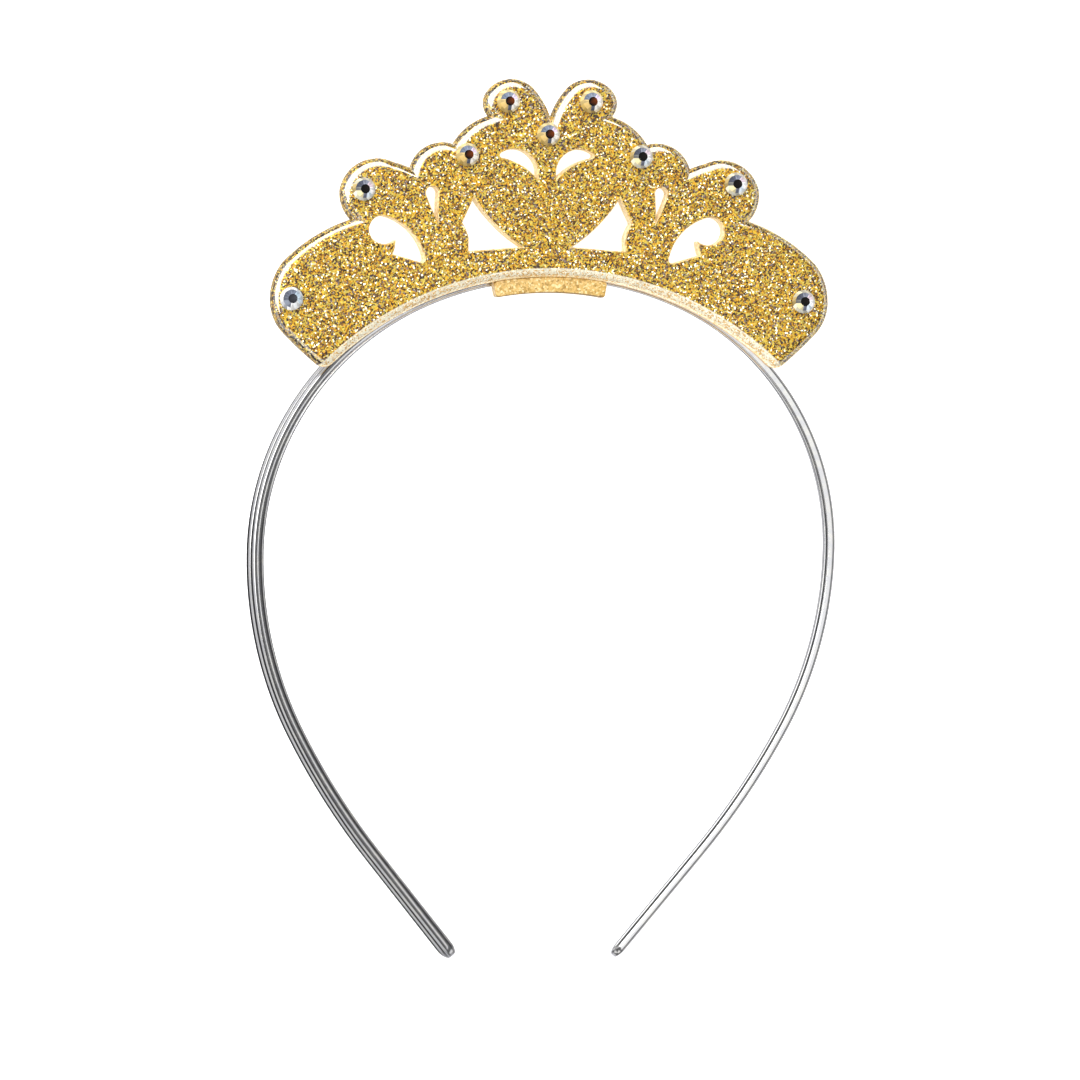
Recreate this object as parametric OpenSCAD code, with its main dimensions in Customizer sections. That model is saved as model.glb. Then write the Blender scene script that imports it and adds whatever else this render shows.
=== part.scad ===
// Mini crown headband, lying on its back: a scalloped crown plate with crystals on it,
// held by a clip on a ribbed metal band.
// x runs to the right, y towards the top of the crown and z towards the front.
// The band stands on its rear edge at z = 0. Sizes are in mm, angles in degrees.

/* [Headband] */
// Outside width of the band at its widest
head_w = 120.6; // [110:0.2:135]
// Depth of the band, from its rear edge to its front edge
band_w = 5; // [4:0.5:7]
// Thickness of the band, over its ribs
band_t = 2.2; // [1.6:0.1:2.6]
// How far the band leans outwards to the rear
band_flare = 8; // [0:1:12]
// Ribs that run along the outside of the band
rib_count = 4; // [3:1:6]
// Length of each straight end of the band
leg_len = 26.5; // [15:0.5:35]
// How far right of the plate's middle the band's arch is centred
band_shift = 1.2; // [0:0.1:1.5]
// How far to the left the band runs for each mm below its top
band_skew = 0.027; // [0:0.003:0.06]

/* [Crown plate] */
// Width of the crown plate, tip to tip
plate_w = 114; // [100:1:120]
// Height of the crown plate, from its lower corners to its top lobes
plate_h = 57.7; // [50:0.1:70]
// Thickness of the crown plate
plate_t = 3.6; // [3:0.2:5]
// Rounding of the plate's front edge
edge_r = 1.5; // [0.8:0.1:1.6]
// Chamfer of the plate's back edge
back_c = 0.4; // [0.2:0.1:0.6]
// Radius of the plate's arched lower edge
hem_r = 65.5; // [60:0.5:75]
// How far the middle of that edge lies below the middle of the band's thickness
hem_drop = 0.8; // [0.4:0.1:1.4]
// How far left of the plate's middle the openings are centred
pattern_shift = 1.1; // [0:0.1:1.5]

/* [Clip] */
// Half of the angle that the clip covers, seen from the centre of the crown's arch
clip_half = 10.5; // [8:0.1:13]
// How far the clip's lower edge lies below the middle of the band's thickness
clip_drop = 4; // [3.8:0.1:6]
// Thickness of the clip's wall in front of the band
clip_web = 1; // [0.8:0.1:1.6]
// How far the clip's lip lies behind the plate's front
lip_step = 1.6; // [1:0.1:2.4]

/* [Crystals] */
// Diameter of each crystal
crystal_d = 4.7; // [3.5:0.1:5.5]
// Height of each crystal
crystal_h = 1.9; // [1.4:0.1:2.4]

/* [Fit] */
// Clearance between pieces that are glued or clipped together
gap = 0.3; // [0.2:0.05:0.5]

/* [Hidden] */
$fn = 96;
// The most that a straight step leaves a curve, and the steps across each rib.
arc_error = 0.03;
rib_steps = 4;
// The section reaches this far past the rear edge before it is cut flat.
rear_cut = 0.4;
// The clip's block ends this many degrees inside its lip, and this far above the lip's edge.
block_in = 1;
block_step = 0.3;

// The arch of the band as arcs from its middle outwards.
// Columns: radius as a share of the half width, turn in degrees.
bend_table = [
    [1.100, 25],
    [0.927, 65],
    [1.320, 28],
    [2.500, 11.5]
];

// Half of the plate's outline, from the notch at its top middle to its lower corner.
// Columns: x as a share of the half width, y as a share of the height,
// and bow, the rise of the arc to the next point as a share of half its chord.
crown_table = [
    [0, 0.865, 0.11],
    [0.063, 0.971, 0.49],
    [0.233, 0.945, 0.30],
    [0.223, 0.871, 0.19],
    [0.348, 0.774, 0.43],
    [0.502, 0.690, 0.06],
    [0.560, 0.710, 0.485],
    [0.752, 0.614, 0.22],
    [0.715, 0.510, 0.12],
    [0.955, 0.362, 0.16],
    [1, 0.241, 0.21],
    [0.955, 0.117, 0.03],
    [0.838, 0.010, 0.40],
    [0.780, 0.012, 0]
];

// The openings on the right-hand side, with the same columns and each a closed loop.
leaf_table = [
    [0.035, 0.655, 0.68],
    [0.166, 0.740, 0.5],
    [0.162, 0.726, -0.165]
];
triangle_table = [
    [0.262, 0.586, 0],
    [0.303, 0.500, -0.08],
    [0.280, 0.448, 0],
    [0.281, 0.402, 0],
    [0.090, 0.416, -0.11]
];
teardrop_table = [
    [0.392, 0.507, -0.03],
    [0.389, 0.603, 1.1],
    [0.432, 0.598, 0.04]
];
scroll_table = [
    [0.587, 0.522, 0.6],
    [0.628, 0.448, 0.42],
    [0.5415, 0.439, -0.1],
    [0.551, 0.390, 0],
    [0.4525, 0.362, 0.5],
    [0.438, 0.375, 0.3]
];

// Places of the crystals from left to right, with the columns x and y.
crystal_table = [
    [-0.935, 0.234],
    [-0.677, 0.614],
    [-0.307, 0.735],
    [-0.160, 0.921],
    [-0.017, 0.807],
    [0.138, 0.921],
    [0.317, 0.731],
    [0.658, 0.638],
    [0.902, 0.230]
];

// Band: its section reaches this far from the middle of its thickness.
band_reach = band_w / 2 * sin(band_flare) + band_t / 2 * cos(band_flare);
band_half = head_w / 2 - band_reach;
rib_pitch = band_w / rib_count;
rib_r = 0.6 * rib_pitch;
rib_depth = rib_r - sqrt(rib_r * rib_r - rib_pitch * rib_pitch / 4);
crown_r = bend_table[0][0] * band_half;

// Stack in z: the band, the clip's wall and then the plate. The lip starts inside the wall.
web_z = band_w + gap;
plate_z = web_z + clip_web + gap;
lip_z = web_z + 0.1;
front_z = plate_z + plate_t;

// The plate's lower edge sets where its table's zero height lies.
hem_half = last(crown_table)[0] * plate_w / 2;
hem_rise = hem_r - sqrt(hem_r * hem_r - hem_half * hem_half);
base_y = -hem_drop - hem_rise - last(crown_table)[1] * plate_h;

// The whole is moved so that x = 0 lies halfway between the band's widest places,
// and y = 0 halfway between the plate's top and the band's tips.
mid_x = band_shift + band_skew * arc_end(1)[1];
low_y = band_end()[1] + band_t / 2 * cos(total_turn(len(bend_table) - 1));
top_y = base_y + plate_h;
mid_y = (top_y + low_y) / 2;

function last(list) = list[len(list) - 1];

// Turn of the band up to the end of arc i, and the place where its straight end stops.
function total_turn(i) = i < 0 ? 0 : bend_table[i][1] + total_turn(i - 1);
function arc_end(i) =
    i < 0 ? [0, 0]
    : let (r = bend_table[i][0] * band_half, a = total_turn(i - 1), b = total_turn(i))
      arc_end(i - 1) + r * [sin(b) - sin(a), cos(b) - cos(a)];
function band_end() =
    let (i = len(bend_table) - 1, a = total_turn(i))
    arc_end(i) + leg_len * [cos(a), -sin(a)];

// Points of an arc from p up to, but not with, q. A positive bow rises to the left of the way.
function arc_points(p, q, bow) =
    abs(bow) < 0.01 ? [p]
    : let (
        chord = q - p,
        half = norm(chord) / 2,
        left = [-chord[1], chord[0]] / norm(chord),
        r = half * (1 + bow * bow) / (2 * bow),
        centre = (p + q) / 2 - left * (r - bow * half),
        from_angle = atan2(p[1] - centre[1], p[0] - centre[0]),
        sweep = -4 * atan(bow),
        steps = ceil(abs(sweep) / (2 * acos(1 - arc_error / abs(r))))
      )
      [for (k = [0:steps - 1])
          centre + abs(r) * [cos(from_angle + sweep * k / steps), sin(from_angle + sweep * k / steps)]];

// A place on the plate from its shares of width and height.
function on_plate(row) = [row[0] * plate_w / 2, base_y + row[1] * plate_h];

// The points of a table's arcs, as an open run or as a closed loop.
function run_points(table, closed) =
    let (n = len(table), stop = closed ? n - 1 : n - 2)
    [for (i = [0:stop])
        each arc_points(on_plate(table[i]), on_plate(table[(i + 1) % n]), table[i][2])];

function mirrored(points) = [for (p = points) [-p[0], p[1]]];
function reversed(points) = [for (i = [len(points) - 1:-1:0]) points[i]];

function crown_points() =
    let (
        corner = on_plate(last(crown_table)),
        right = run_points(crown_table, false),
        hem_bow = -tan(asin(hem_half / hem_r) / 2),
        hem = arc_points(corner, [-corner[0], corner[1]], hem_bow),
        left = [for (i = [len(right) - 1:-1:1]) [-right[i][0], right[i][1]]]
    )
    concat(right, hem, [[-corner[0], corner[1]]], left);

module placed() {
    translate([-mid_x, -mid_y, 0])
        children();
}

// Section of the band as places across its thickness and along its width, starting at
// the middle of the inner face. The outer face has ribs, and the rear edge is left long.
function band_section() =
    let (outer = band_t / 2, valley = outer - rib_depth, front = band_w / 2)
    concat(
        [[-outer, 0], [-outer, front]],
        [for (i = [0:rib_count - 1])
            let (middle = front - (i + 0.5) * rib_pitch, spread = asin(rib_pitch / 2 / rib_r))
            for (k = [0:rib_steps - 1])
                let (a = spread * (1 - 2 * k / rib_steps))
                [outer - rib_r + rib_r * cos(a), middle + rib_r * sin(a)]],
        [[valley, -front - rear_cut], [-outer, -front - rear_cut]]
    );

// A place in the section, after it is narrowed by k and turned by the flare: outwards and z.
function flared(p, k) = [
    p[0] * cos(band_flare) - k * p[1] * sin(band_flare),
    max(0, band_w / 2 + p[0] * sin(band_flare) + k * p[1] * cos(band_flare))
];

// Stations of the band's right-hand half, from its middle to its tip.
// Columns: x, y, turn and the share of its width that the section keeps.
function band_stations() =
    let (
        n = len(bend_table),
        turn = total_turn(n - 1),
        start = arc_end(n - 1),
        way = [cos(turn), -sin(turn)],
        round_from = leg_len - band_w / 2
    )
    concat(
        [for (i = [0:n - 1])
            let (
                r = bend_table[i][0] * band_half,
                from = arc_end(i - 1),
                a0 = total_turn(i - 1),
                steps = ceil(bend_table[i][1] / (2 * acos(1 - arc_error / r)))
            )
            for (k = [0:steps - 1])
                let (a = a0 + bend_table[i][1] * k / steps)
                [from[0] + r * (sin(a) - sin(a0)), from[1] + r * (cos(a) - cos(a0)), a, 1]],
        [[start[0], start[1], turn, 1]],
        [for (a = [0:15:75])
            let (p = start + way * (round_from + band_w / 2 * sin(a)))
            [p[0], p[1], turn, cos(a)]],
        [let (p = start + way * leg_len) [p[0], p[1], turn, 0.08]]
    );

module band_sweep() {
    right = band_stations();
    stations = concat(
        [for (i = [len(right) - 1:-1:1]) [-right[i][0], right[i][1], -right[i][2], right[i][3]]],
        right
    );
    middles = [for (s = stations) [s[0] + band_shift + band_skew * s[1], s[1]]];
    section = band_section();
    n = len(section);
    m = len(stations);
    polyhedron(
        points = [for (j = [0:m - 1]) for (p = section)
            let (s = stations[j], f = flared(p, s[3]))
            [middles[j][0] + f[0] * sin(s[2]), middles[j][1] + f[0] * cos(s[2]), f[1]]],
        faces = concat(
            [[for (i = [0:n - 1]) i]],
            [for (j = [0:m - 2]) for (i = [0:n - 1])
                each [
                    [j * n + i, (j + 1) * n + i, (j + 1) * n + (i + 1) % n],
                    [j * n + i, (j + 1) * n + (i + 1) % n, j * n + (i + 1) % n]
                ]],
            [[for (i = [n - 1:-1:0]) (m - 1) * n + i]]
        )
    );
}

module headband() {
    color("silver")
        placed()
            band_sweep();
}

// A ring sector about the centre of the band's arch, with its middle at x = 0. It reaches
// as far above the arch as below it.
module arch_sector(half_angle, reach, z0, z1) {
    translate([0, -crown_r, 0])
        rotate(90 - half_angle)
            rotate_extrude(angle = 2 * half_angle)
                translate([crown_r - reach, z0])
                    square([2 * reach, z1 - z0]);
}

// The clip: a block behind the plate, with a channel for the band, and a wider lip
// that fills the room below the plate's lower edge.
module band_clip() {
    color("wheat")
        placed()
            difference() {
                union() {
                    arch_sector(clip_half - block_in, clip_drop - block_step, gap, web_z + clip_web);
                    intersection() {
                        arch_sector(clip_half, clip_drop, lip_z, front_z - lip_step);
                        translate([0, -hem_drop - hem_r, 0])
                            cylinder(h = front_z, r = hem_r - gap);
                    }
                }
                arch_channel();
            }
}

// The channel for the band, open to the rear.
module arch_channel() {
    reach = band_reach + gap;
    translate([band_shift, -crown_r, 0])
        rotate(90 - 2 * clip_half)
            rotate_extrude(angle = 4 * clip_half)
                translate([crown_r - reach, -gap])
                    square([2 * reach, web_z + gap]);
}

// The loop moved inwards by d. It runs clockwise, so its inside lies to the right of the way.
function inset_points(points, d) =
    let (n = len(points))
    [for (i = [0:n - 1])
        let (
            a = edge_normal(points[(i + n - 1) % n], points[i]),
            b = edge_normal(points[i], points[(i + 1) % n])
        )
        points[i] + d * (a + b) / (1 + a * b)];
function edge_normal(p, q) = [q[1] - p[1], p[0] - q[0]] / norm(q - p);

// The plate's rim as a closed tube: a chamfered back edge, a side, a rounded front edge and
// an inner wall inside the plate. Each row is a place in the section: inset and z.
module plate_rim(points, rim_w) {
    rows = concat(
        [[rim_w, 0], [back_c, 0], [0, back_c]],
        [for (a = [0:22.5:90]) [edge_r * (1 - cos(a)), plate_t - edge_r * (1 - sin(a))]],
        [[rim_w, plate_t]]
    );
    n = len(points);
    m = len(rows);
    loops = [for (row = rows) [for (p = inset_points(points, row[0])) [p[0], p[1], row[1]]]];
    polyhedron(
        points = [for (loop = loops) each loop],
        faces = [for (j = [0:m - 1]) for (i = [0:n - 1])
            [j * n + i, j * n + (i + 1) % n, (j + 1) % m * n + (i + 1) % n, (j + 1) % m * n + i]]
    );
}

// The plate without its openings.
module plate_body() {
    points = crown_points();
    core_inset = edge_r + 0.2;
    plate_rim(points, core_inset + 0.2);
    linear_extrude(plate_t)
        polygon(inset_points(points, core_inset));
}

module opening(table) {
    points = run_points(table, true);
    translate([-pattern_shift, 0, -plate_t])
        linear_extrude(3 * plate_t) {
            polygon(points);
            polygon(mirrored(reversed(points)));
        }
}

module crown_plate() {
    color("gold")
        placed()
            translate([0, 0, plate_z])
                difference() {
                    plate_body();
                    opening(leaf_table);
                    opening(triangle_table);
                    opening(teardrop_table);
                    opening(scroll_table);
                }
}

module crystal(i) {
    girdle_h = 0.2 * crystal_h;
    facet_z = 0.62 * crystal_h;
    skin = 0.01;
    color("white")
        placed()
            translate(concat(on_plate(crystal_table[i - 1]), front_z + gap))
                hull() {
                    cylinder(h = girdle_h, r = crystal_d / 2, $fn = 16);
                    translate([0, 0, facet_z])
                        rotate(22.5)
                            cylinder(h = skin, r = 0.37 * crystal_d, $fn = 8);
                    translate([0, 0, crystal_h - skin])
                        cylinder(h = skin, r = 0.22 * crystal_d, $fn = 8);
                }
}

headband();
band_clip();
crown_plate();
for (i = [1:len(crystal_table)])
    crystal(i);
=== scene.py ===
# Mini crown headband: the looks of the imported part.
# Sizes are in mm, x to the right, y towards the top of the crown, z towards the front.
from math import acos, asin, atan, atan2, ceil, cos, pi, radians, sin, sqrt, tan

import bmesh
import bpy
from mathutils import Matrix, Vector


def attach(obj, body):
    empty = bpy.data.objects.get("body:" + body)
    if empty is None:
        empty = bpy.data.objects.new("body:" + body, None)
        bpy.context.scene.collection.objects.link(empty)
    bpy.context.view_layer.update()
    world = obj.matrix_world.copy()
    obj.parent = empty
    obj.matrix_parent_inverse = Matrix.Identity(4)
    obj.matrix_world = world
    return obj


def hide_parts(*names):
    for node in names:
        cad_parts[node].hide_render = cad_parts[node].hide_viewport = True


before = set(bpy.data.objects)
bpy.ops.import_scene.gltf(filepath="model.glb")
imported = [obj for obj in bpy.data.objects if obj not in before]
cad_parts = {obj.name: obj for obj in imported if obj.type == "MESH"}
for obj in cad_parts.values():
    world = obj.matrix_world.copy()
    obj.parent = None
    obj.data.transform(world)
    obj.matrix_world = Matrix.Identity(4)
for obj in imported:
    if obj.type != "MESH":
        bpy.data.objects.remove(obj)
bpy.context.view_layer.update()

mm = 0.001
up = Vector((0, 0, 1))
toRow = Vector((0.299, 49.428, 0))  # where the drawings' origin, at the band's top, lies in the part
sharpTurn = radians(12)  # edges that turn more than this are shaded sharp
chordError = 0.004  # the most that a straight step leaves its arc
largestStep = radians(8)  # and the most that it turns
straightBow = 0.01  # arcs with a smaller bow are drawn straight
joinDistance = 0.002  # points of one drawing that lie closer are one point
tinyEdge = 0.001  # shorter edges of a finished mesh are closed up
flatRing = 0.05  # a narrow ring round a flat, so that the flat shades flat


# Small tools for the meshes

def arcSteps(turn, radius):
    byError = 2 * acos(1 - chordError / abs(radius))
    return max(1, ceil(abs(turn) / min(byError, largestStep)))


def drawArc(bm, start, end, bow):
    # a positive bow rises to the left of the way from start to end
    if abs(bow) < straightBow:
        bm.edges.new((bm.verts.new(start), bm.verts.new(end)))
        return
    chord = end - start
    half = chord.length / 2
    radius = half * (1 + bow * bow) / (2 * bow)
    left = Vector((-chord.y, chord.x, 0)).normalized()
    centre = (start + end) / 2 - left * (radius - bow * half)
    turn = 4 * atan(bow)
    bmesh.ops.spin(bm, geom=[bm.verts.new(start)], cent=centre, axis=-up, angle=turn,
                   steps=arcSteps(turn, radius))


def drawLoop(bm, points, bows):
    # as many bows as points closes the loop
    for number, bow in enumerate(bows):
        drawArc(bm, points[number], points[(number + 1) % len(points)], bow)


def joinLoop(bm):
    bmesh.ops.remove_doubles(bm, verts=bm.verts, dist=joinDistance)


def fillLoops(bm):
    # one face in each closed loop, facing the front
    faces = bmesh.ops.contextual_create(bm, geom=bm.edges[:])["faces"]
    for face in faces:
        face.normal_update()
        if face.normal.z < 0:
            face.normal_flip()
    return faces


def vertsOf(made):
    return [part for part in made if isinstance(part, bmesh.types.BMVert)]


def edgesOf(made):
    return [part for part in made if isinstance(part, bmesh.types.BMEdge)]


def raiseFace(bm, face, height):
    # turns a face into a block and gives its front face
    made = bmesh.ops.extrude_face_region(bm, geom=[face])["geom"]
    bmesh.ops.translate(bm, vec=up * height, verts=vertsOf(made))
    bmesh.ops.recalc_face_normals(bm, faces=bm.faces)
    return next(part for part in made if isinstance(part, bmesh.types.BMFace))


def insetFace(bm, face, inwards, outwards):
    bmesh.ops.inset_region(bm, faces=[face], thickness=inwards, depth=outwards, use_even_offset=True,
                           use_boundary=True)


def roundFace(bm, face, radius, steps):
    # a quarter round in front of a block's wall
    for step in range(steps):
        low, high = [pi / 2 * number / steps for number in (step, step + 1)]
        insetFace(bm, face, radius * (cos(low) - cos(high)), radius * (sin(high) - sin(low)))
    insetFace(bm, face, flatRing, 0)


def bevelEdges(bm, edges, width, segments, clamp=True):
    return bmesh.ops.bevel(bm, geom=edges, offset=width, offset_type="OFFSET", segments=segments, profile=0.5,
                           affect="EDGES", clamp_overlap=clamp, material=-1)["faces"]


def makeObject(name, bm, slots=1):
    mesh = bpy.data.meshes.new(name)
    bm.to_mesh(mesh)
    bm.free()
    while len(mesh.materials) < slots:
        mesh.materials.append(bpy.data.materials.new("blank"))
    piece = bpy.data.objects.new(name, mesh)
    bpy.context.scene.collection.objects.link(piece)
    return piece


def applyModifiers(piece):
    bpy.context.view_layer.update()
    graph = bpy.context.evaluated_depsgraph_get()
    mesh = bpy.data.meshes.new_from_object(piece.evaluated_get(graph))
    piece.modifiers.clear()
    old, piece.data = piece.data, mesh
    bpy.data.meshes.remove(old)


def combine(piece, tool, operation):
    cut = piece.modifiers.new("cut", "BOOLEAN")
    cut.material_mode = "INDEX"
    cut.object, cut.operation, cut.solver = tool, operation, "EXACT"
    applyModifiers(piece)
    bpy.data.objects.remove(tool)


def finishPiece(piece, node, materials, move=toRow):
    # puts a piece that was drawn in mm in its place, in metres
    bm = bmesh.new()
    bm.from_mesh(piece.data)
    bmesh.ops.translate(bm, vec=move, verts=bm.verts)
    bmesh.ops.scale(bm, vec=Vector((mm, mm, mm)), verts=bm.verts)
    bm.to_mesh(piece.data)
    bm.free()
    for number, material in enumerate(materials):
        piece.data.materials[number] = material
    piece.data.shade_smooth()
    piece.data.set_sharp_from_angle(angle=sharpTurn)
    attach(piece, "root")
    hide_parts(node)


def unit(value):
    # a number held between 0 and 1
    return min(1.0, max(0.0, value))


# Small tools for the finishes

def paint(colour):
    # a colour as it is seen on a screen, 0 to 255, made linear
    return tuple((tone / 255 / 12.92 if tone < 10.3 else ((tone / 255 + 0.055) / 1.055) ** 2.4)
                 for tone in colour) + (1.0,)


class Wire:  # a socket's value, for Python's own operators
    def __init__(self, nodes, socket):
        self.nodes, self.socket = nodes, socket

    def math(self, operation, *values):
        return self.nodes.node("ShaderNodeMath", {"operation": operation}, dict(enumerate(values)))

    def __add__(self, other):
        return self.math("ADD", self, other)

    def __radd__(self, other):
        return self.math("ADD", other, self)

    def __sub__(self, other):
        return self.math("SUBTRACT", self, other)

    def __rsub__(self, other):
        return self.math("SUBTRACT", other, self)

    def __mul__(self, other):
        return self.math("MULTIPLY", self, other)

    def __rmul__(self, other):
        return self.math("MULTIPLY", other, self)

    def root(self):
        return self.math("SQRT", self)

    def above(self, low, high):
        # 0 at low and less, 1 at high and more, smooth between
        return self.nodes.node("ShaderNodeMapRange", {"interpolation_type": "SMOOTHSTEP"},
                               {"Value": self, "From Min": low, "From Max": high})

    def below(self, low, high):
        return 1 - self.above(low, high)


class Nodes:  # a node tree and the shader at its end
    def __init__(self, holder, shaderType):
        holder.use_nodes = True
        self.tree = holder.node_tree
        self.shader = next(node for node in self.tree.nodes if node.type == shaderType)

    def set(self, **sockets):
        for name, value in sockets.items():
            self.plug(self.shader.inputs[name.replace("_", " ")], value)

    def plug(self, socket, value):
        if isinstance(value, Wire):
            self.tree.links.new(value.socket, socket)
        else:
            socket.default_value = value

    def node(self, kind, settings=None, inputs=None, output=0):
        made = self.tree.nodes.new(kind)
        for name, value in (settings or {}).items():
            if name == "stops":
                stops = made.color_ramp.elements
                while len(stops) < len(value):
                    stops.new(0.5)
                for stop, (place, colour) in zip(stops, value):
                    stop.position, stop.color = place, colour
            else:
                setattr(made, name, value)
        for name, value in (inputs or {}).items():
            self.plug(made.inputs[name], value)
        return Wire(self, made.outputs[output])

    def split(self, vector):
        first = self.node("ShaderNodeSeparateXYZ", {}, {0: vector})
        return [Wire(self, socket) for socket in first.socket.node.outputs]

    def mix(self, factor, first, second):
        # between two colours, which are the node's sockets 6 and 7
        return self.node("ShaderNodeMix", {"data_type": "RGBA"}, {0: factor, 6: first, 7: second}, output=2)


class Finish(Nodes):  # a material and the nodes that make it
    def __init__(self, name, **sockets):
        self.material = bpy.data.materials.new(name)
        super().__init__(self.material, "BSDF_PRINCIPLED")
        self.set(**sockets)

    def place(self):
        # object coordinates in mm
        spot = self.node("ShaderNodeTexCoord", output="Object")
        return self.vector("SCALE", {0: spot, "Scale": 1 / mm})

    def facing(self):
        # the way that the surface faces
        return self.node("ShaderNodeNewGeometry", output="Normal")

    def vector(self, operation, inputs):
        return self.node("ShaderNodeVectorMath", {"operation": operation}, inputs)

    def cells(self, where, size):
        # a random colour for each cell of about that size
        return self.node("ShaderNodeTexVoronoi", {}, {"Vector": where, "Scale": 1 / size}, output="Color")

    def ramp(self, tone, stops):
        # a paint for each tone from 0 to 1
        painted = [(place, paint(colour)) for place, colour in stops]
        return self.node("ShaderNodeValToRGB", {"stops": painted}, {"Fac": tone})


print("tools ready")

# Crown plate

crown = {
    "width": 114.0, "height": 57.69, "base": -18.893,  # base is where the outline's zero height lies
    "thick": 3.6, "back": 6.6,  # back is the z of its back face
    "round": 2.1, "roundSteps": 10, "chamfer": 0.4,
    "hemRadius": 65.5, "hemDrop": 0.8, "patternShift": -1.1,
    # the openings' rims: their rounding, the tiny edges that are joined first, how near the front an edge
    # has to be, and under which z of its direction a face is a wall
    "rimRound": 0.24, "rimSteps": 3, "rimJoin": 0.01, "rimReach": 0.05, "wallFacing": 0.1,
    # shares of the half width and of the height, and the bow of the arc to the next point
    "outline": [(0, .865, .11), (.063, .971, .49), (.233, .945, .30), (.223, .871, .19), (.348, .774, .43),
                (.502, .690, .06), (.560, .710, .485), (.752, .614, .22), (.715, .510, .12),
                (.955, .362, .16), (1, .241, .21), (.955, .117, .03), (.838, .010, .40), (.780, .012, 0)],
    "openings": {
        "leaf": [(.035, .655, .68), (.166, .740, .5), (.162, .726, -.165)],
        "triangle": [(.262, .586, 0), (.303, .500, -.08), (.280, .448, 0), (.281, .402, 0),
                     (.090, .416, -.11)],
        "teardrop": [(.392, .507, -.03), (.389, .603, 1.1), (.432, .598, .04)],
        "scroll": [(.587, .522, .6), (.628, .448, .42), (.5415, .439, -.1), (.551, .390, 0),
                   (.4525, .362, .5), (.438, .375, .3)],
    },
    # in the finishes a pair of numbers is a smooth step, from the first to the second
    "glitter": {
        "fineSize": 0.27, "coarseSize": 0.42, "fineShare": 0.82, "coarseShare": 0.18, "contrast": 1.9,
        "golds": [(0.00, (60, 40, 10)), (0.20, (116, 76, 10)), (0.42, (188, 130, 10)), (0.62, (228, 168, 22)),
                  (0.80, (248, 198, 48)), (0.95, (255, 228, 104))],
        "grey": (106, 92, 88), "greyAbove": (0.84, 0.88), "greyBelow": (0.55, 0.65),
        # the pale flecks are painted glints
        "paintedGlint": (255, 250, 214), "glintAbove": (0.94, 0.95),
        "pit": (64, 54, 48), "pitBelow": (0.06, 0.07),
        "flakeLean": 0.75, "metallic": 0.55, "flatCoat": 0.04, "rimCoat": 0.96,
    },
    "edge": {
        # depths behind the plate's front
        "clearFrom": (0.0, 0.12), "clearTo": (0.95, 1.15), "side": (0.9, 1.3), "dotsFrom": (0.45, 0.6),
        "armY": (58.5, 60.5), "armDepth": 0.12,  # the clear layer starts deeper on the plate's arms
        "rightX": (-0.1, 0.4),  # from faces that look left to faces that look right
        # the side's painted shade where it faces left and painted light where it faces right
        "left": (150, 118, 60), "right": (255, 238, 196), "leftShare": 0.5, "moreOnRight": 0.15,
        # dark flecks of painted shade on the rounding where it faces left
        "shadeFlecks": (36, 22, 6), "dotsBelow": (0.34, 0.42), "dotsShare": 0.9,
    },
    "hem": {
        # distances from the arched edge
        "reach": (1.4, 1.9), "lineFrom": (1.35, 1.5), "lineTo": (1.65, 1.8),
        "share": 0.9, "dark": (222, 176, 100), "pale": (255, 250, 226), "paleAbove": (0.25, 0.5),
        # the strip's inner line is a painted highlight
        "line": (255, 250, 228), "lineShare": 0.6,
        # depths behind the plate's front
        "wallFrom": (1.5, 2.1), "glowFrom": (0.6, 1.4),
        # the glow is painted light, lifting the shade at the seam with the clip
        "wall": (206, 158, 84), "wallShare": 0.7, "glow": (255, 222, 160),
        "lessMetallic": 0.6, "lessCoat": 0.85,
    },
    "pierced": {
        # the cut faces glow a little, painted light
        "cellSize": 0.45, "glow": (255, 226, 160), "rimFacing": (0.05, 0.4),
        # the rims' darker browns are a painted shadow line round each opening
        "walls": [(214, 184, 124), (252, 238, 200)], "rims": [(160, 122, 60), (240, 212, 150)],
    },
}
crownFront = crown["back"] + crown["thick"]
hemCentre = Vector((0, -crown["hemDrop"] - crown["hemRadius"], 0))
cutSlot = 1  # the plate's second material slot, for what the openings cut


def onCrown(x, y):
    return Vector((x * crown["width"] / 2, crown["base"] + y * crown["height"], 0))


def buildOpenings():
    bm = bmesh.new()
    for rows in crown["openings"].values():
        drawLoop(bm, [onCrown(x, y) for x, y, bow in rows], [bow for x, y, bow in rows])
    joinLoop(bm)
    bmesh.ops.mirror(bm, geom=bm.verts[:] + bm.edges[:], axis="X", merge_dist=0)
    walls = bmesh.ops.extrude_edge_only(bm, edges=bm.edges[:])["geom"]
    # the cutters reach one thickness past the plate on both sides
    bmesh.ops.translate(bm, vec=up * 3 * crown["thick"], verts=vertsOf(walls))
    bmesh.ops.holes_fill(bm, edges=[edge for edge in bm.edges if edge.is_boundary])
    bmesh.ops.recalc_face_normals(bm, faces=bm.faces)
    bmesh.ops.translate(bm, vec=(crown["patternShift"], 0, crown["back"] - crown["thick"]), verts=bm.verts)
    for face in bm.faces:
        face.material_index = cutSlot  # the walls of the openings keep it
    return makeObject("openingCutters", bm, slots=2)


def isRim(edge):
    # whether an edge lies between the plate's front and the wall of an opening
    onFront = all(abs(vert.co.z - crownFront) < crown["rimReach"] for vert in edge.verts)
    return (onFront and len(edge.link_faces) == 2
            and min(face.normal.z for face in edge.link_faces) < crown["wallFacing"])


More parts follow.
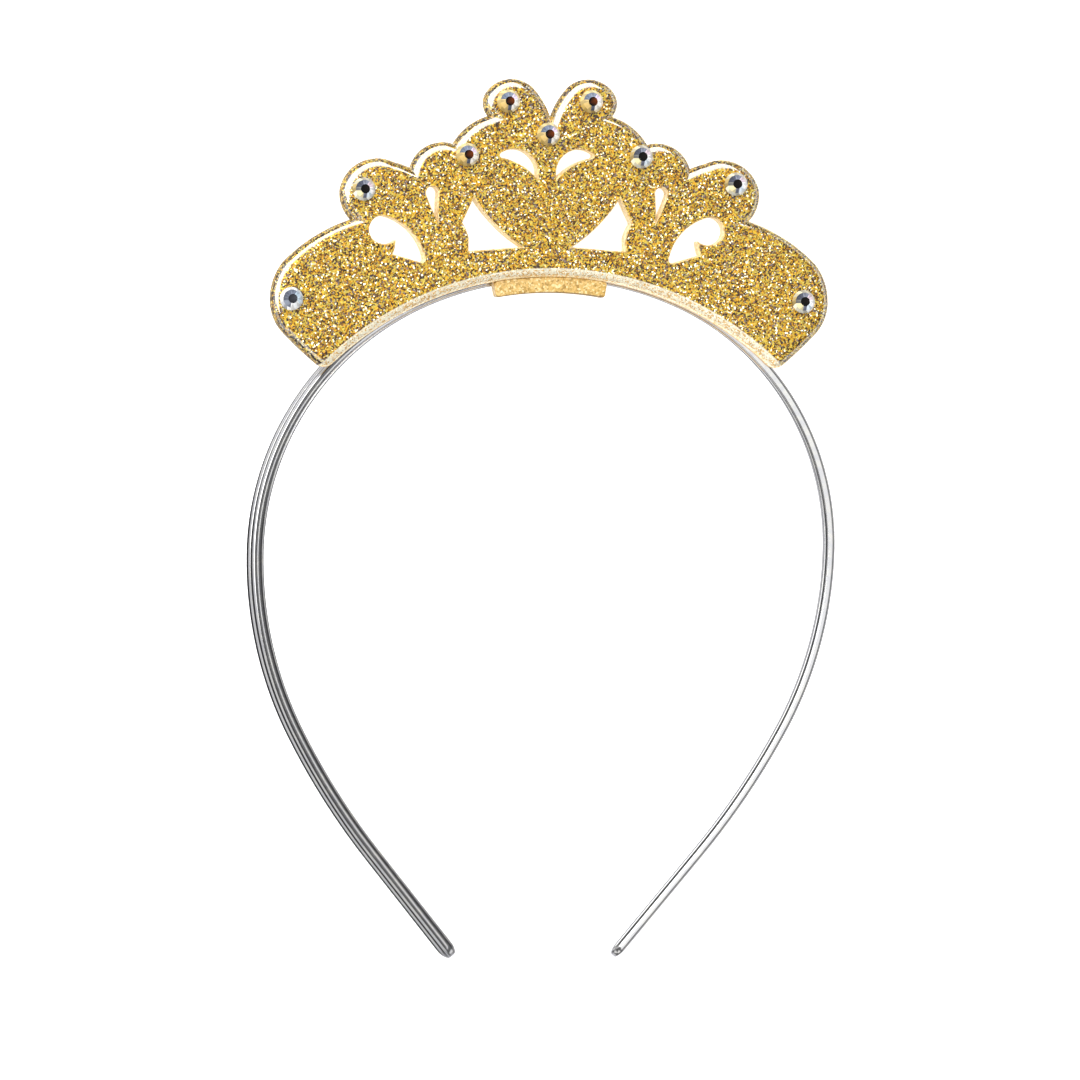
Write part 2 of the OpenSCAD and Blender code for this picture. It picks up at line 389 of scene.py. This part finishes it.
def buildCrown(materials):
    bm = bmesh.new()
    rows = crown["outline"]
    points = [onCrown(x, y) for x, y, bow in rows]
    hemTurn = asin(points[-1].x / crown["hemRadius"])
    points.append(Vector((0, -crown["hemDrop"], 0)))
    drawLoop(bm, points, [bow for x, y, bow in rows[:-1]] + [-tan(hemTurn / 4)])
    bmesh.ops.mirror(bm, geom=bm.verts[:] + bm.edges[:], axis="X", merge_dist=0)
    joinLoop(bm)
    back = fillLoops(bm)[0]
    wall = crown["thick"] - crown["chamfer"] - crown["round"]
    bmesh.ops.translate(bm, vec=up * (crown["back"] + crown["chamfer"]), verts=bm.verts)
    front = raiseFace(bm, back, wall)
    roundFace(bm, front, crown["round"], crown["roundSteps"])
    insetFace(bm, back, crown["chamfer"], crown["chamfer"])
    piece = makeObject("crownPlate", bm, slots=2)
    combine(piece, buildOpenings(), "DIFFERENCE")

    # the openings' rims are rounded, once the tiny edges that the cut leaves are joined
    bm = bmesh.new()
    bm.from_mesh(piece.data)
    cutVerts = [vert for vert in bm.verts if any(face.material_index == cutSlot for face in vert.link_faces)]
    bmesh.ops.remove_doubles(bm, verts=cutVerts, dist=crown["rimJoin"])
    rims = [edge for edge in bm.edges if isRim(edge)]
    for face in bevelEdges(bm, rims, crown["rimRound"], crown["rimSteps"], clamp=False):
        face.material_index = cutSlot
    bmesh.ops.dissolve_degenerate(bm, dist=tinyEdge, edges=bm.edges)
    bmesh.ops.triangulate(bm, faces=[face for face in bm.faces if len(face.verts) > 4])
    bm.to_mesh(piece.data)
    bm.free()
    finishPiece(piece, "crown_plate", materials)
    return piece


def glitterFinish():
    flakes, edge, strip = crown["glitter"], crown["edge"], crown["hem"]
    finish = Finish("glitterAcetate", Roughness=0.32, Coat_IOR=3.4, Coat_Roughness=0.02,
                    Emission_Strength=0.3)
    where = finish.place()
    x, y, z = finish.split(where)
    fine = finish.cells(where, flakes["fineSize"])
    fineTone, fineKind = finish.split(fine)[:2]
    coarseTone, coarseKind = finish.split(finish.cells(where, flakes["coarseSize"]))[:2]

    # flakes of many golds, with some grey and dark ones, and pale ones painted as glints
    tone = fineTone * flakes["fineShare"] + coarseTone * flakes["coarseShare"]
    skin = finish.ramp((tone - 0.5) * flakes["contrast"] + 0.5, flakes["golds"])
    grey = coarseKind.above(*flakes["greyAbove"]) * fineTone.below(*flakes["greyBelow"])
    skin = finish.mix(grey, skin, paint(flakes["grey"]))
    skin = finish.mix(fineKind.above(*flakes["glintAbove"]), skin, paint(flakes["paintedGlint"]))
    skin = finish.mix(fineKind.below(*flakes["pitBelow"]), skin, paint(flakes["pit"]))

    # where on the plate a point is
    depth = crownFront - z
    arm = y.below(*edge["armY"])
    rim = (depth - arm * edge["armDepth"]).above(*edge["clearFrom"]) * depth.below(*edge["clearTo"])
    side = depth.above(*edge["side"])
    fromX, fromY = x - (hemCentre.x + toRow.x), y - (hemCentre.y + toRow.y)
    fromHem = (fromX * fromX + fromY * fromY).root() - crown["hemRadius"]
    hem = fromHem.below(*strip["reach"])
    hemWall = depth.above(*strip["wallFrom"])
    normal = finish.facing()
    right = finish.split(normal)[0].above(*edge["rightX"])

    # painted light and shade on the side: shaded dark where it faces left and lit pale where it faces right,
    # with dark flecks of painted shade towards it on the left
    sides = finish.mix(right, paint(edge["left"]), paint(edge["right"]))
    skin = finish.mix(side * (1 - hem) * (edge["leftShare"] + right * edge["moreOnRight"]), skin, sides)
    # painted shade: dark flecks on the rounding where it faces left
    shadeFlecks = depth.above(*edge["dotsFrom"]) * coarseTone.below(*edge["dotsBelow"]) * (1 - right) * (1 - hem)
    skin = finish.mix(shadeFlecks * edge["dotsShare"], skin, paint(edge["shadeFlecks"]))

    # the pale strip along the arched edge, its inner line, which is a painted highlight, and its wall
    creams = finish.mix(fineTone.above(*strip["paleAbove"]), paint(strip["dark"]), paint(strip["pale"]))
    skin = finish.mix(hem * strip["share"], skin, creams)
    line = fromHem.above(*strip["lineFrom"]) * fromHem.below(*strip["lineTo"])
    skin = finish.mix(line * strip["lineShare"], skin, paint(strip["line"]))
    skin = finish.mix(hem * hemWall * strip["wallShare"], skin, paint(strip["wall"]))
    # painted light: the strip's rounding glows a little, to lift the shade at its seam with the clip
    glowing = hem * depth.above(*strip["glowFrom"]) * (1 - hemWall)
    glow = finish.mix(glowing, (0, 0, 0, 1), paint(strip["glow"]))

    # each flake leans its own way under the clear layer
    lean = finish.vector("SUBTRACT", {0: fine, 1: (0.5, 0.5, 0.5)})
    lean = finish.vector("SCALE", {0: lean, "Scale": flakes["flakeLean"]})
    leaning = finish.vector("NORMALIZE", {0: finish.vector("ADD", {0: normal, 1: lean})})
    finish.set(Base_Color=skin, Emission_Color=glow, Normal=leaning,
               Metallic=flakes["metallic"] * (1 - side) * (1 - hem * strip["lessMetallic"]),
               Coat_Weight=flakes["flatCoat"] + flakes["rimCoat"] * rim * (1 - hem * strip["lessCoat"]))
    return finish.material


def piercedFinish():
    look = crown["pierced"]
    # the cut faces glow a little: painted light
    finish = Finish("piercedAcetate", Roughness=0.4, Emission_Color=paint(look["glow"]),
                    Emission_Strength=0.08)
    tone = finish.split(finish.cells(finish.place(), look["cellSize"]))[0]
    walls, rims = [finish.mix(tone, paint(dark), paint(pale)) for dark, pale in (look["walls"], look["rims"])]
    front = finish.split(finish.facing())[2]
    # the rims, which face the front, take the darker browns: a painted shadow line
    finish.set(Base_Color=finish.mix(front.above(*look["rimFacing"]), walls, rims))
    return finish.material


crownPlate = buildCrown([glitterFinish(), piercedFinish()])
print("crown plate:", len(crownPlate.data.polygons), "faces")

# Clip

clip = {
    "archRadius": 64.749, "half": radians(10.5), "drop": 4.0, "lipBack": 5.4, "lipFront": 8.6, "hemGap": 0.02,
    "blockIn": radians(1), "blockStep": 0.3, "blockBack": 0.3, "blockFront": 6.3,
    "channelHalf": 1.737, "channelShift": 1.2, "channelTop": 5.3, "channelBack": -1.0,
    "corner": 0.6, "cornerSteps": 5, "cornerTurn": 1.0, "cornerRise": 1.0,  # turn in radians
    "edge": 0.35, "edgeSteps": 4, "edgeReach": 0.01,
    "speckles": {
        "cellSize": 0.36,
        "creams": [(0.0, (164, 126, 58)), (0.3, (204, 164, 84)), (0.7, (220, 182, 106)),
                   (1.0, (242, 220, 164))],
        # painted shade along the lower edge of the lip's front, where its faces turn down
        "paintedLowShade": (96, 68, 24), "lowShadeShare": 0.75, "facingDown": (-0.65, -0.2), "lowFrom": (7.6, 8.0),
    },
}
archCentre = Vector((0, -clip["archRadius"], 0))


def onArch(radius, angle, centre=archCentre):
    return centre + Vector((radius * sin(angle), radius * cos(angle), 0))


def ringSector(low, high, half, back, front, centre=archCentre):
    # a sector between two radii about the arch's centre
    bm = bmesh.new()
    points = [onArch(high, -half, centre), onArch(high, half, centre),
              onArch(low, half, centre), onArch(low, -half, centre)]
    drawLoop(bm, points, [tan(half / 2), 0, -tan(half / 2), 0])
    joinLoop(bm)
    face = fillLoops(bm)[0]
    bmesh.ops.translate(bm, vec=up * back, verts=bm.verts)
    raiseFace(bm, face, front - back)
    return bm


def buildClip(material):
    # the lip: its lower edge runs with the band and its upper edge with the plate's hem
    half, low = clip["half"], clip["archRadius"] - clip["drop"]
    hemReach = crown["hemRadius"] - clip["hemGap"]
    away = Vector((sin(half), cos(half), 0))
    across = archCentre - hemCentre
    along = across.dot(away)
    top = archCentre + away * (-along + sqrt(along ** 2 - across.length_squared + hemReach ** 2))
    hemHalf = atan2(top.x, top.y - hemCentre.y)
    bm = bmesh.new()
    drawLoop(bm, [Vector((-top.x, top.y, 0)), top, onArch(low, half), onArch(low, -half)],
             [tan(hemHalf / 2), 0, -tan(half / 2), 0])
    joinLoop(bm)
    face = fillLoops(bm)[0]
    bmesh.ops.translate(bm, vec=up * clip["lipBack"], verts=bm.verts)
    raiseFace(bm, face, clip["lipFront"] - clip["lipBack"])
    uprights = [edge for edge in bm.edges
                if abs(edge.verts[0].co.z - edge.verts[1].co.z) > clip["cornerRise"]]
    corners = [edge for edge in uprights if edge.calc_face_angle() > clip["cornerTurn"]]
    bevelEdges(bm, corners, clip["corner"], clip["cornerSteps"])
    front = clip["lipFront"] - clip["edgeReach"]
    rims = [edge for edge in bm.edges if all(vert.co.z > front for vert in edge.verts)]
    bevelEdges(bm, rims, clip["edge"], clip["edgeSteps"])
    piece = makeObject("bandClip", bm)

    # the block behind the plate, and the open channel that holds the band
    reach = clip["drop"] - clip["blockStep"]
    block = ringSector(clip["archRadius"] - reach, clip["archRadius"] + reach, half - clip["blockIn"],
                       clip["blockBack"], clip["blockFront"])
    combine(piece, makeObject("block", block), "UNION")
    channelCentre = archCentre + Vector((clip["channelShift"], 0, 0))
    channel = ringSector(clip["archRadius"] - clip["channelHalf"], clip["archRadius"] + clip["channelHalf"],
                         2 * half, clip["channelBack"], clip["channelTop"], channelCentre)
    combine(piece, makeObject("channel", channel), "DIFFERENCE")
    finishPiece(piece, "band_clip", [material])
    return piece


def clipFinish():
    look = clip["speckles"]
    finish = Finish("creamAcetate", Roughness=0.32, Coat_Weight=0.4, Coat_Roughness=0.08)
    where = finish.place()
    speckles = finish.ramp(finish.split(finish.cells(where, look["cellSize"]))[0], look["creams"])
    # painted shade where the lip's front turns down at its lower edge
    down = finish.split(finish.facing())[1].below(*look["facingDown"])
    paintedLowShade = down * finish.split(where)[2].above(*look["lowFrom"])
    finish.set(Base_Color=finish.mix(paintedLowShade * look["lowShadeShare"], speckles, paint(look["paintedLowShade"])))
    return finish.material


bandClip = buildClip(clipFinish())
print("clip:", len(bandClip.data.polygons), "faces")

# Headband

band = {
    "half": 58.83, "thick": 2.2, "width": 5.0, "flare": radians(8), "shift": 1.2, "skew": 0.027,
    "ribs": 4, "ribRadius": 0.75, "rearLength": 0.4, "stepTurn": radians(1.25),
    # each bend's radius as a share of the half width, and its turn in degrees
    "bends": [(1.100, 25), (0.927, 65), (1.320, 28), (2.500, 11.5)],
    # the straight legs and the tips, whose last ring keeps a little width and a share of the thickness
    "legLength": 26.5, "tipRings": 12, "tipRound": 2.6, "tipEnd": 0.999, "tipThickness": 0.35,
    # the front, from the inner edge outwards: how far behind the foremost line each arc starts, and its bow;
    # the groove and the land also say where they start, and the shoulder how far before the ribs
    "bead": (0.22, 0.25), "groove": (-0.74, 0.20, -0.75), "land": (-0.36, 0.12, 0.07),
    "shoulder": (0.06, 0.08, 0.3), "ribDrop": 0.16,
    # painted shade and dark reflections on the metal, by its place in the section, from 0 to 1; the other
    # numbers are places and widths, apart from the groove's peak, which is cut off at the darkness of a line
    "dark": {
        "frontDepth": 0.4, "frontShort": 0.1, "outlineWidth": 0.08, "bead": 0.25, "beadEnd": -0.78,
        "line": 0.98, "grooveMiddle": -0.6, "grooveFade": 0.14, "groovePeak": 1.7,
        "shoulderDepth": 0.2, "ribEnd": 0.7, "ribFade": 0.15, "inside": 0.2,
        # all but the outlines, which are darker than this, fade towards the top, and everything at the tips
        "outline": 0.99, "topShare": 0.1, "topY": -14, "topFade": 36, "tipFade": 0.3,
    },
    "metal": {
        "cloudSize": 2.0, "cloudDetail": 4.0, "cloudFrom": (0.35, 0.7),
        # the dark is that of the painted shade and dark reflections
        "greys": [(222, 222, 224), (234, 233, 229)], "dark": (20, 20, 26), "paintedShadeShare": 0.96,
        "roughness": 0.08, "cloudRoughness": 0.08, "darkRoughness": 0.15,
    },
}


def darkness(x, y, outer, front, valley, pitch):
    # how much painted shade and dark reflection the metal gets at a point of the section, in its grooves and
    # at its edges
    look = band["dark"]
    if y > front - look["frontDepth"] and x < valley - look["frontShort"]:
        if x < look["outlineWidth"] - outer:
            return 1.0
        groove = min(look["line"], look["groovePeak"] - abs(x - look["grooveMiddle"]) / look["grooveFade"])
        return max(groove, look["bead"] if x < look["beadEnd"] else 0)
    if x > 0:
        if y > front - look["shoulderDepth"]:
            return 1.0
        rib, along = divmod((front - y) / pitch, 1)  # along is 0 at the rib's side towards the front
        return look["line"] * unit((look["ribEnd"] - along) / look["ribFade"]) * (rib % 2)
    return look["inside"]


def drawSection():
    # x is outwards across the thickness and y along the width, the front at the top:
    # a bead at the inner edge, a groove, the crowned front and then the ribs of the outer face
    bm = bmesh.new()
    outer, front = band["thick"] / 2, band["width"] / 2
    pitch = band["width"] / band["ribs"]
    valley = outer - band["ribRadius"] + sqrt(band["ribRadius"] ** 2 - (pitch / 2) ** 2)
    ribBow = tan(asin(pitch / 2 / band["ribRadius"]) / 2)
    rear = -front - band["rearLength"]
    shoulderBefore, shoulderDrop, shoulderBow = band["shoulder"]
    arcs = [(-outer, *band["bead"]), band["groove"], band["land"],
            (valley - shoulderBefore, shoulderDrop, shoulderBow), (valley, band["ribDrop"], ribBow)]
    rows = [(x, front - drop, bow) for x, drop, bow in arcs]
    rows += [(valley, front - rib * pitch, ribBow) for rib in range(1, band["ribs"])]
    rows += [(valley, -front, 0), (valley, rear, 0), (-outer, rear, 0)]
    drawLoop(bm, [Vector((x, y, 0)) for x, y, bow in rows], [bow for x, y, bow in rows])
    joinLoop(bm)
    # painted shade and dark reflections, kept at each point of the section
    dull = bm.verts.layers.float.new("dull")
    for vert in bm.verts:
        vert[dull] = darkness(vert.co.x, vert.co.y, outer, front, valley, pitch)

    # stood up in the plane x = 0, where outwards is y, leant, and cut off level at the rear
    lean = Matrix.Rotation(band["flare"], 4, "X")
    stand = Matrix(((0, 0, 1, 0), (1, 0, 0, 0), (0, 1, 0, front), (0, 0, 0, 1)))
    lowered, raised = Matrix.Translation((0, 0, -front)), Matrix.Translation((0, 0, front))
    bmesh.ops.transform(bm, matrix=raised @ lean @ lowered @ stand, verts=bm.verts)
    bmesh.ops.bisect_plane(bm, geom=bm.verts[:] + bm.edges[:], plane_co=(0, 0, 0), plane_no=(0, 0, -1),
                           clear_outer=True)
    bm.edges.new([vert for vert in bm.verts if len(vert.link_edges) == 1])
    return bm


def buildHeadband(material):
    look = band["dark"]
    bm = drawSection()
    dull = bm.verts.layers.float["dull"]
    ring = bm.verts[:] + bm.edges[:]
    place, turn = Vector((0, 0, 0)), 0.0
    for share, degrees in band["bends"]:
        bend, radius = radians(degrees), share * band["half"]
        centre = place - radius * Vector((sin(turn), cos(turn), 0))
        ring = bmesh.ops.spin(bm, geom=ring, cent=centre, axis=-up, angle=bend,
                              steps=ceil(bend / band["stepTurn"]))["geom_last"]
        turn += bend
        place = centre + radius * Vector((sin(turn), cos(turn), 0))
    way = Vector((cos(turn), -sin(turn), 0))

    # the leg and its tip, which narrows to a half round
    half, thinnest = band["width"] / 2, band["tipThickness"]
    shares = [sin(pi / 2 * step / band["tipRings"]) for step in range(band["tipRings"])] + [band["tipEnd"]]
    reached, oldWide, oldThick = 0.0, 1.0, 1.0
    face = Matrix.Rotation(-turn, 4, "Z") @ Matrix.Rotation(band["flare"], 4, "X")
    for share in shares:
        stop = band["legLength"] - half + half * share
        made = bmesh.ops.extrude_edge_only(bm, edges=edgesOf(ring))["geom"]
        verts = vertsOf(made)
        ring = [edge for edge in edgesOf(made) if all(vert in verts for vert in edge.verts)]
        bmesh.ops.translate(bm, vec=way * (stop - reached), verts=verts)
        wide = sqrt(1 - share ** 2)
        fromTip = max(0.0, 1 - (band["legLength"] - stop) / band["tipRound"])
        thick = thinnest + (1 - thinnest) * sqrt(1 - fromTip ** 2)
        middle = Matrix.Translation(place + way * stop + up * half) @ face
        shrink = Matrix.Diagonal((1, thick / oldThick, wide / oldWide, 1))
        bmesh.ops.transform(bm, matrix=middle @ shrink @ middle.inverted(), verts=verts)
        for vert in verts:
            vert[dull] *= 1 - look["tipFade"] * fromTip
        reached, oldWide, oldThick = stop, wide, thick
    bmesh.ops.contextual_create(bm, geom=ring)
    for vert in bm.verts:
        if vert[dull] < look["outline"]:
            fromTop = unit((look["topY"] - vert.co.y) / look["topFade"])
            vert[dull] *= look["topShare"] + (1 - look["topShare"]) * fromTop
    bmesh.ops.mirror(bm, geom=bm.verts[:] + bm.edges[:] + bm.faces[:], axis="X", merge_dist=0)
    bmesh.ops.remove_doubles(bm, verts=bm.verts, dist=tinyEdge)
    bmesh.ops.recalc_face_normals(bm, faces=bm.faces)
    shear = Matrix(((1, band["skew"], 0, band["shift"]), (0, 1, 0, 0), (0, 0, 1, 0), (0, 0, 0, 1)))
    bmesh.ops.transform(bm, matrix=shear, verts=bm.verts)
    piece = makeObject("ribbedHeadband", bm)
    finishPiece(piece, "headband", [material])
    return piece


def metalFinish():
    look = band["metal"]
    finish = Finish("brightMetal", Metallic=1.0)
    cloud = finish.node("ShaderNodeTexNoise", {}, {"Vector": finish.place(), "Scale": 1 / look["cloudSize"],
                                                   "Detail": look["cloudDetail"]})
    dull = finish.node("ShaderNodeAttribute", {"attribute_name": "dull"}, output="Fac")
    steel = finish.mix(cloud.above(*look["cloudFrom"]), *[paint(grey) for grey in look["greys"]])
    # the steel is darkened by the painted shade and dark reflections
    finish.set(Base_Color=finish.mix(dull * look["paintedShadeShare"], steel, paint(look["dark"])),
               Roughness=look["roughness"] + look["cloudRoughness"] * cloud + look["darkRoughness"] * dull)
    return finish.material


headband = buildHeadband(metalFinish())
print("headband:", len(headband.data.polygons), "faces")

# Crystals

crystals = {
    "radius": 2.35, "height": 1.9, "sides": 16,
    # the glue bed's thickness, and how far its foot lies inside the girdle and over the plate
    "lift": 0.3, "footIn": 0.15, "footUp": 0.01,
    # rings as shares of the height, and of the radius where they are narrower than the girdle
    "girdleTop": 0.2, "crownRing": 0.6, "crownRadius": 0.78, "tableRadius": 0.4,
    "spots": [(-.935, .234), (-.677, .614), (-.307, .735), (-.160, .921), (-.017, .807), (.138, .921),
              (.317, .731), (.658, .638), (.902, .230)],
    "kinds": ["pale", "dark", "smoky", "smoky", "smoky", "smoky", "dark", "dark", "dark"],
    # facets that face the front more than this are the table, and less than this are shaded by turns
    "tableFacing": 0.99, "steepFacing": 0.75, "shade": 0.84,
    # shares of the radius: where the upper facets' middles end, and where the table's right begins
    "upperReach": 0.74, "rightShare": 0.85,
    # painted reflections: colours of the table's left and right, then of the upper and the outer facets by
    # direction, counterclockwise from the right
    "dark": {
        "table": [(4, 4, 5), (26, 20, 18)],
        "upper": [(254, 254, 255), (214, 196, 206), (124, 128, 142), (66, 70, 84), (112, 112, 110),
                  (240, 228, 180), (118, 122, 138), (232, 244, 255)],
        "outer": [(230, 228, 224), (206, 200, 188), (184, 178, 160), (214, 206, 176), (176, 154, 104),
                  (244, 238, 212), (206, 206, 198), (244, 246, 244)]},
    "smoky": {
        "table": [(6, 2, 1), (112, 52, 14)],
        "upper": [(255, 254, 250), (226, 210, 234), (128, 136, 154), (106, 116, 134), (204, 178, 120),
                  (214, 184, 118), (98, 104, 120), (255, 250, 242)],
        "outer": [(255, 246, 226), (226, 210, 166), (214, 198, 148), (208, 188, 136), (212, 186, 124),
                  (198, 168, 98), (190, 164, 106), (246, 232, 196)]},
    "pale": {
        "table": [(40, 42, 48), (66, 68, 74)],
        "upper": [(204, 222, 236), (178, 196, 212), (108, 116, 132), (84, 90, 104), (90, 96, 108),
                  (130, 136, 148), (252, 252, 252), (244, 248, 252)],
        "outer": [(222, 232, 240), (206, 214, 222), (236, 236, 234), (228, 228, 222), (236, 236, 232),
                  (176, 178, 182), (250, 250, 250), (244, 246, 248)]},
}
sectorTurn = pi / 4  # how much of a full turn each colour takes


def crystalRing(bm, radius, height, turned=0.0):
    bmesh.ops.create_circle(bm, segments=crystals["sides"], radius=radius,
                            matrix=Matrix.Translation((0, 0, height)) @ Matrix.Rotation(turned, 4, "Z"))


def facetColour(face, corner, look):
    middle, tilt = face.calc_center_median(), face.normal.z
    turn = (atan2(middle.y, middle.x) + sectorTurn / 2) % (2 * pi)
    sector = int(turn / sectorTurn)
    if tilt > crystals["tableFacing"]:
        spot = corner.vert.co
        return look["table"][int(spot.x > crystals["rightShare"] * spot.xy.length)]
    inner = middle.xy.length < crystals["upperReach"] * crystals["radius"]
    colour = look["upper" if inner else "outer"][sector]
    second = int(turn / (sectorTurn / 2)) % 2
    shade = crystals["shade"] if second and tilt < crystals["steepFacing"] else 1.0
    return [shade * tone for tone in colour]


def buildCrystal(number, spot, kind, material):
    bm = bmesh.new()
    high, radius, lift = crystals["height"], crystals["radius"], crystals["lift"]
    crystalRing(bm, radius - crystals["footIn"], crystals["footUp"])
    crystalRing(bm, radius, lift)
    crystalRing(bm, radius, lift + crystals["girdleTop"] * high)
    crystalRing(bm, crystals["crownRadius"] * radius, lift + crystals["crownRing"] * high,
                pi / crystals["sides"])
    crystalRing(bm, crystals["tableRadius"] * radius, lift + high)
    bmesh.ops.convex_hull(bm, input=bm.verts)
    bmesh.ops.dissolve_limit(bm, angle_limit=radians(1), verts=bm.verts, edges=bm.edges)
    bmesh.ops.recalc_face_normals(bm, faces=bm.faces)
    colours = bm.loops.layers.float_color.new("facetColour")
    for face in bm.faces:
        for corner in face.loops:
            corner[colours] = paint(facetColour(face, corner, crystals[kind]))
    piece = makeObject("crystal_%d_stone" % number, bm)
    where = onCrown(*spot) + up * crownFront
    finishPiece(piece, "crystal_%d" % number, [material], toRow + where)


def crystalFinish():
    finish = Finish("foiledCrystal", Roughness=0.08, Specular_IOR_Level=0.12)
    # the facets' colours are painted reflections, with painted shade on every second steep facet
    facets = finish.node("ShaderNodeAttribute", {"attribute_name": "facetColour"}, output="Color")
    finish.set(Base_Color=facets)
    return finish.material


crystalGloss = crystalFinish()
for number, (spot, kind) in enumerate(zip(crystals["spots"], crystals["kinds"]), 1):
    buildCrystal(number, spot, kind, crystalGloss)
print("crystals:", len(crystals["spots"]))

# Studio: a pale floor, soft lights and the camera

studio = {
    # the floor's side in m, its colour and its own light
    "floor": 30.0, "floorColour": (250, 250, 250), "floorGlow": 0.9,
    # the camera's distance and clipping in m, its lens and sensor in mm, its turn, and where it looks, in mm
    "distance": 2.7, "clipping": (0.1, 50), "lens": 450, "sensor": 36, "cameraTurn": radians(-12),
    "aim": (-2.27, -4.04, 10.2),
    # the softboxes: their distance in m, where they are seen from the object, their size in m and radiance
    "away": 2.4,
    "softboxes": {
        "upperLeft": {"turn": radians(125), "lean": radians(46), "size": (6.0, 3.0), "radiance": 2.9},
        "left": {"turn": radians(180), "lean": radians(84), "size": (6.0, 1.6), "radiance": 0.8},
        "right": {"turn": 0.0, "lean": radians(80), "size": (6.0, 1.4), "radiance": 0.8},
        "below": {"turn": radians(-90), "lean": radians(57), "size": (3.5, 1.6), "radiance": 1.0},
    },
    # ceiling panels over the object: their height in m, and where each one starts and ends across and along,
    # in degrees off the vertical, with its radiance
    "ceiling": 3.5,
    "panels": {"overhead": ((-20, 16.5), (-28, 28), 0.94), "stripRight": ((27, 33), (-40, 40), 1.0)},
    # the air's tone from straight below, 0, over the horizon, 0.5, to straight above, 1, and its blue tint
    "air": [(0.0, 0.85), (0.25, 0.72), (0.42, 0.08), (0.62, 0.08), (1.0, 0.16)], "airBlue": 1.04,
    "beyond": (0.93, 0.93, 0.93, 1),  # what the camera sees past the floor
}


def addPanel(name, size, radiance, matrix):
    lamp = bpy.data.lights.new(name, "AREA")
    lamp.shape = "RECTANGLE"
    lamp.size, lamp.size_y = size
    lamp.energy = radiance * pi * size[0] * size[1]
    holder = bpy.data.objects.new(name, lamp)
    holder.matrix_world = matrix
    bpy.context.scene.collection.objects.link(holder)


def buildFloor():
    bm = bmesh.new()
    bmesh.ops.create_grid(bm, x_segments=1, y_segments=1, size=studio["floor"] / 2)
    ground = makeObject("floor", bm)
    white = Finish("paleFloor", Base_Color=paint(studio["floorColour"]), Roughness=0.9,
                   Specular_IOR_Level=0.0, Emission_Color=(1, 1, 1, 1), Emission_Strength=studio["floorGlow"])
    ground.data.materials[0] = white.material
    ground.visible_glossy = False  # the bright metal sees the dark studio instead


def addLights(aim):
    for name, box in studio["softboxes"].items():
        lean, turn = box["lean"], box["turn"]
        toward = Vector((sin(lean) * cos(turn), sin(lean) * sin(turn), cos(lean)))
        facing = toward.to_track_quat("Z", "Y").to_matrix().to_4x4()
        place = Matrix.Translation(aim + toward * studio["away"])
        addPanel(name, box["size"], box["radiance"], place @ facing)
    high = studio["ceiling"]
    for name, (across, along, radiance) in studio["panels"].items():
        left, right, low, top = [high * tan(radians(angle)) for angle in across + along]
        addPanel(name, (right - left, top - low), radiance,
                 Matrix.Translation(aim + Vector(((left + right) / 2, (low + top) / 2, high))))


def addAir():
    world = bpy.data.worlds.new("studioAir")
    bpy.context.scene.world = world
    air = Nodes(world, "BACKGROUND")
    height = air.split(air.node("ShaderNodeTexCoord", output="Generated"))[2]
    height = air.node("ShaderNodeMapRange", {}, {"Value": height, "From Min": -1})
    stops = [(place, (tone, tone, tone * studio["airBlue"], 1)) for place, tone in studio["air"]]
    tones = air.node("ShaderNodeValToRGB", {"stops": stops}, {"Fac": height})
    seen = air.node("ShaderNodeLightPath", output="Is Camera Ray")
    air.set(Color=air.mix(seen, tones, studio["beyond"]))


def addCamera(aim):
    camera = bpy.data.cameras.new("camera")
    camera.lens, camera.sensor_width = studio["lens"], studio["sensor"]
    camera.clip_start, camera.clip_end = studio["clipping"]
    holder = bpy.data.objects.new("camera", camera)
    turn = studio["cameraTurn"]
    holder.location = aim + Vector((sin(turn), 0, cos(turn))) * studio["distance"]
    holder.rotation_euler = (0, turn, 0)
    bpy.context.scene.collection.objects.link(holder)
    bpy.context.scene.camera = holder
    bpy.context.scene.view_settings.view_transform = "Standard"


cameraAim = Vector(studio["aim"]) * mm
buildFloor()
addLights(cameraAim)
addAir()
addCamera(cameraAim)
print("studio ready")
